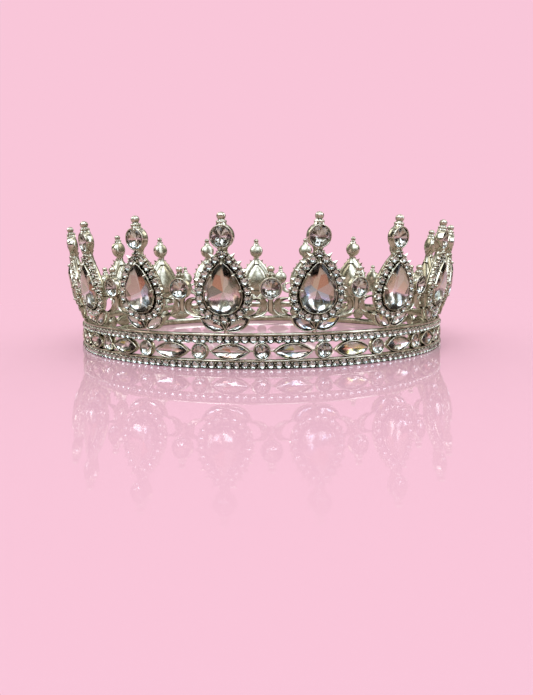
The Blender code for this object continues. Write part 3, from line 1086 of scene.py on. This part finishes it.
def make_band(metal, stone, rng):
    lower = rail_casting(0.0, LOWER_RAIL_TOP, LOWER_ROW_HEIGHT, LOWER_STRIP)
    upper = rail_casting(UPPER_RAIL_BOTTOM, UPPER_RAIL_TOP, UPPER_ROW_HEIGHT, UPPER_STRIP)
    for name, shape, node in (
        ("lower_rail_casting", lower, "lower_rail"),
        ("upper_rail_casting", upper, "upper_rail"),
        ("band_cups", band_cup_casting(), "band_cup_row"),
    ):
        piece(name, shape.mesh(name, metal), [node])
    for name, height, node in (
        ("lower_rail_rhinestones", LOWER_ROW_HEIGHT, "lower_stone_row"),
        ("upper_rail_rhinestones", UPPER_ROW_HEIGHT, "upper_stone_row"),
    ):
        mesh = rail_stone_row(height, rng).mesh(name, stone)
        piece(name, mesh, [node])
    centre = (0, BAND_GIRDLE_Y, BAND_MIDDLE)
    raised = Matrix.Translation((0, 0, BAND_MIDDLE))
    radius = BAND_CUP_HEIGHT / 2 - STONE_MARGIN
    length, width = BAND_MARQUISE[0] - 1.15, BAND_MARQUISE[1] - 0.9
    for pair in range(BAND_PAIRS):
        number = f"{pair + 1:02d}"
        angle = pair * PAIR_PITCH
        gem_shape = round_stone(radius, BAND_MIDDLE, BAND_GIRDLE_Y, rng)
        place = ring_matrix(angle) @ tilted(centre, rng)
        stone_piece(f"band_round_{number}", [(gem_shape, place)], stone)
        gem_shape = marquise_stone(length, width, BAND_GIRDLE_Y, rng)
        place = ring_matrix(angle + PAIR_PITCH / 2) @ tilted(centre, rng) @ raised
        stone_piece(f"band_marquise_{number}", [(gem_shape, place)], stone)


def v_stones(rng):
    """The two marquises of a V foot."""
    placed = []
    for side in (-1, 1):
        marquise = marquise_stone(V_SIZE[0] - 1.2, V_SIZE[1] - 0.85, -0.5, rng)
        placed.append((marquise, v_matrix(side) @ tilted((0, 0, 0), rng, 0.06)))
    return placed


def small_stones(places, rng):
    """The claw-set stones of a halo and its stem."""
    placed = []
    for x, z in places:
        spin = Matrix.Rotation(rng.uniform(0, ANY_TURN), 4, "Y")
        seat = Matrix.Translation((x, HALO_GIRDLE_Y, z)) @ spin
        placed.append((chaton(HALO_STONE_RADIUS, rng), seat @ tilted((0, 0, 0), rng, 0.12)))
    for (x, z), radius in stem_places():
        seat = Matrix.Translation((x, STEM_GIRDLE_Y, z))
        placed.append((chaton(radius, rng), seat @ tilted((0, 0, 0), rng, 0.15)))
    return placed


def finial_stone(cup_radius, cup_centre, girdle_y, tilt_y, rng):
    stone = round_stone(cup_radius - STONE_MARGIN, cup_centre, girdle_y, rng)
    return [(stone, tilted((0, tilt_y, cup_centre), rng, 0.06))]


def make_spires(metal, stone, rng):
    casting = spire_casting().mesh("spire_casting", metal)
    link = link_casting().mesh("link_casting", metal)
    places, _ = halo_places()
    for spire in range(SPIRES):
        number = f"{spire + 1:02d}"
        angle = FIRST_SPIRE_ANGLE + spire * SPIRE_PITCH
        here, gap = standing(angle), standing(angle + SPIRE_PITCH / 2)
        piece(f"spire_casting_{number}", casting, [f"tall_spire_{number}"], here)
        pear = [(pear_stone(rng), tilted((0, -2.5, 13), rng, 0.05))]
        stone_piece(f"pear_{number}", pear, stone, [f"pear_stone_{number}"], here)
        top = finial_stone(TOP_CUP_RADIUS, TOP_CUP_CENTRE, -1.25, -1.2, rng)
        stone_piece(f"top_round_{number}", top, stone, matrix=here)
        stone_piece(f"v_marquises_{number}", v_stones(rng), stone, matrix=here)
        halo = small_stones(places, rng)
        stone_piece(f"halo_rhinestones_{number}", halo, stone, matrix=here)
        piece(f"scroll_link_casting_{number}", link, [f"scroll_link_{number}"], gap)
        short = finial_stone(SHORT_CUP_RADIUS, SHORT_CUP_CENTRE, -1.15, -1.1, rng)
        stone_piece(f"short_round_{number}", short, stone, matrix=gap)


# ---------------------------------------------------------------- stage, light and camera


def floor_material():
    """Plain pale pink with a fine grain and a mirror sheen at low angles. The crown mirrors it warmer."""
    material = bpy.data.materials.new("floor")
    material.use_nodes = True
    nodes, links = material.node_tree.nodes, material.node_tree.links
    nodes.clear()
    path = nodes.new("ShaderNodeLightPath")
    colour = mix_colour(nodes, links, path.outputs["Is Camera Ray"], TABLE_COLOUR, PINK)
    matt = nodes.new("ShaderNodeBsdfDiffuse")
    links.new(colour, matt.inputs["Color"])
    links.new(bump(nodes, links, noise(nodes, links, 2500, 2), 0.15, 0.00001), matt.inputs["Normal"])
    sheen = nodes.new("ShaderNodeBsdfGlossy")
    sheen.inputs["Color"].default_value = (1, 1, 1, 1)
    sheen.inputs["Roughness"].default_value = 0.0
    grazing = nodes.new("ShaderNodeLayerWeight")
    grazing.inputs["Blend"].default_value = 0.2
    both = nodes.new("ShaderNodeMixShader")
    links.new(map_range(nodes, links, grazing.outputs["Fresnel"], (0.03, 0.95)), both.inputs["Fac"])
    links.new(matt.outputs["BSDF"], both.inputs[1])
    links.new(sheen.outputs["BSDF"], both.inputs[2])
    output = nodes.new("ShaderNodeOutputMaterial")
    links.new(both.outputs["Shader"], output.inputs["Surface"])
    return material


def make_stage():
    mesh = bpy.data.meshes.new("floor")
    reach = 6.0
    corners = [(-reach, -reach, 0), (reach, -reach, 0), (reach, reach, 0), (-reach, reach, 0)]
    mesh.from_pydata(corners, [], [(0, 1, 2, 3)])
    mesh.materials.append(floor_material())
    floor = bpy.data.objects.new("floor", mesh)
    bpy.context.scene.collection.objects.link(floor)


def direction_of(azimuth, elevation):
    """Azimuth 0 is in front, 90 on the right; both in degrees."""
    a, e = math.radians(azimuth), math.radians(elevation)
    return Vector((math.sin(a) * math.cos(e), -math.cos(a) * math.cos(e), math.sin(e)))


def calculate(nodes, links, operation, *values):
    """A sum of a Math node whose inputs may be sockets or numbers."""
    node = nodes.new("ShaderNodeMath")
    node.operation = operation
    for place, value in zip(node.inputs, values):
        if isinstance(value, bpy.types.NodeSocket):
            links.new(value, place)
        else:
            place.default_value = value
    return node.outputs["Value"]


def panel_mask(nodes, links, direction, azimuth, elevation, half_width, half_height):
    """1 inside a rectangle of the surroundings seen in one direction, 0 outside it."""
    facing = direction_of(azimuth, elevation)
    right = Vector((0, 0, 1)).cross(facing).normalized()
    reaches = []
    for axis in (facing, right, facing.cross(right)):
        product = nodes.new("ShaderNodeVectorMath")
        product.operation = "DOT_PRODUCT"
        product.inputs[1].default_value = axis
        links.new(direction, product.inputs[0])
        reaches.append(product.outputs["Value"])
    mask = calculate(nodes, links, "GREATER_THAN", reaches[0], 0.02)
    for across, half in zip(reaches[1:], (half_width, half_height)):
        ratio = calculate(nodes, links, "DIVIDE", across, reaches[0])
        size = calculate(nodes, links, "ABSOLUTE", ratio)
        edge = map_range(nodes, links, size, (half + PANEL_EDGE, half - PANEL_EDGE))
        mask = calculate(nodes, links, "MULTIPLY", mask, edge)
    return mask


PANEL_EDGE = 0.04

# Softboxes and dark cards round the crown, as (azimuth, elevation, half width, half height, colour)
SOFTBOXES = (
    (-40, 40, 0.30, 0.30, (3.4, 3.75, 4.1)),
    (14, 38, 0.20, 0.30, (2.8, 3.15, 3.6)),
    (66, 44, 0.24, 0.22, (3.0, 3.3, 3.7)),
    (-8, 20, 0.10, 0.08, (2.2, 2.2, 2.1)),
    (0, 78, 0.20, 0.16, (2.4, 2.4, 2.3)),
    (62, 14, 0.16, 0.30, (2.0, 2.2, 2.4)),
    (-76, 2, 0.10, 0.24, (1.5, 1.2, 1.1)),
    (120, 35, 0.22, 0.20, (2.0, 1.9, 1.6)),
    (-125, 32, 0.22, 0.22, (2.0, 1.9, 1.6)),
    (180, 68, 0.25, 0.12, (2.0, 1.9, 1.7)),
)
DARK_CARDS = (
    (-14, 40, 0.05, 0.5, (0.03, 0.03, 0.03)),
    (0, 8, 0.22, 0.07, (0.03, 0.026, 0.02)),
    (44, 32, 0.05, 0.35, (0.04, 0.035, 0.03)),
    (-90, 25, 0.12, 0.4, (0.04, 0.036, 0.03)),
)

# The room's colour from straight down to straight up, and the brightness of its patches
WALL_STOPS = (
    (0.0, (0.30, 0.23, 0.18)),
    (0.5, (0.13, 0.115, 0.085)),
    (0.6, (0.25, 0.235, 0.18)),
    (0.72, (0.50, 0.49, 0.42)),
    (0.86, (0.74, 0.76, 0.75)),
    (1.0, (0.5, 0.5, 0.49)),
)
PATCH_STOPS = (
    (0.0, (0.22, 0.20, 0.17)),
    (0.5, (0.72, 0.71, 0.68)),
    (0.8, (1.25, 1.25, 1.25)),
    (1.0, (2.6, 2.6, 2.6)),
)


def room_colour(nodes, links, direction):
    """What the metal and stones mirror: patchy walls and ceiling, softboxes and dark cards."""
    split = nodes.new("ShaderNodeSeparateXYZ")
    links.new(direction, split.inputs["Vector"])
    height = map_range(nodes, links, split.outputs["Z"], (-1, 1))
    walls = ramp(nodes, links, height, WALL_STOPS).outputs["Color"]
    cells = nodes.new("ShaderNodeTexVoronoi")
    cells.inputs["Scale"].default_value = 6.5
    links.new(direction, cells.inputs["Vector"])
    grey = nodes.new("ShaderNodeSeparateColor")
    links.new(cells.outputs["Color"], grey.inputs["Color"])
    patches = ramp(nodes, links, grey.outputs["Red"], PATCH_STOPS).outputs["Color"]
    room = mix_colour(nodes, links, 1.0, walls, patches, "MULTIPLY")
    for *panel, colour in SOFTBOXES + DARK_CARDS:
        room = mix_colour(nodes, links, panel_mask(nodes, links, direction, *panel), room, colour)
    return room


def make_world():
    """A plain pink backdrop, also in the floor's sheen. Soft light is even, and the rest mirrors a room."""
    world = bpy.data.worlds.new("studio")
    world.use_nodes = True
    world.cycles.sampling_method = "NONE"
    bpy.context.scene.world = world
    nodes, links = world.node_tree.nodes, world.node_tree.links
    direction = nodes.new("ShaderNodeTexCoord").outputs["Generated"]
    seen = room_colour(nodes, links, direction)
    path = nodes.new("ShaderNodeLightPath")
    for ray, colour in (
        ("Is Singular Ray", PINK),
        ("Is Diffuse Ray", (AMBIENT, AMBIENT, AMBIENT)),
        ("Is Camera Ray", PINK),
    ):
        seen = mix_colour(nodes, links, path.outputs[ray], seen, colour)
    links.new(seen, nodes["Background"].inputs["Color"])


def make_lights():
    """One broad, soft key light from the front left."""
    data = bpy.data.lights.new("key_light", "SUN")
    data.energy = KEY_STRENGTH
    data.angle = math.radians(24)
    data.color = (0.97, 0.985, 1.0)
    light = bpy.data.objects.new("key_light", data)
    light.location = direction_of(-35, 58)
    light.rotation_euler = direction_of(-35, 58).to_track_quat("Z", "Y").to_euler()
    bpy.context.scene.collection.objects.link(light)


def make_camera():
    """The viewing angle: low, close and a little above the crown's middle."""
    distance, pitch, roll = 0.23627, math.radians(2.6486), math.radians(0.471)
    target = Vector((0, 0, 0.02042))
    data = bpy.data.cameras.new("camera")
    data.sensor_fit = "AUTO"
    data.sensor_width = 36.0
    data.lens = 27.60
    data.shift_x, data.shift_y = 0.00725, -0.0810
    data.clip_start = 0.01
    camera = bpy.data.objects.new("camera", data)
    back = Vector((0, -math.cos(pitch), math.sin(pitch)))
    camera.location = target + back * distance
    camera.rotation_mode = "QUATERNION"
    camera.rotation_quaternion = back.to_track_quat("Z", "Y") @ Matrix.Rotation(-roll, 3, "Z").to_quaternion()
    bpy.context.scene.collection.objects.link(camera)
    bpy.context.scene.camera = camera


def build():
    rng = random.Random(17)
    metal = [
        silver_material("plated_silver", (0.78, 0.75, 0.65), (0.44, 0.415, 0.32), (0.05, 0.15)),
        # painted shade: near-black metal for the cup seats, where the recesses look dark
        silver_material("painted_shade_silver", (0.10, 0.09, 0.08), (0.04, 0.035, 0.03), (0.4, 0.6)),
        silver_material("cast_back", (0.64, 0.61, 0.50), (0.38, 0.36, 0.28), (0.18, 0.32)),
    ]
    stone = [
        crystal_material("crystal", (0.98, 0.98, 0.99), (0.95, 0.93, 0.92)),
        foil_material("stone_foil"),
    ]
    make_band(metal, stone, rng)
    make_spires(metal, stone, rng)
    make_stage()
    make_world()
    make_lights()
    make_camera()
    bpy.context.scene.view_settings.view_transform = "Standard"


build()
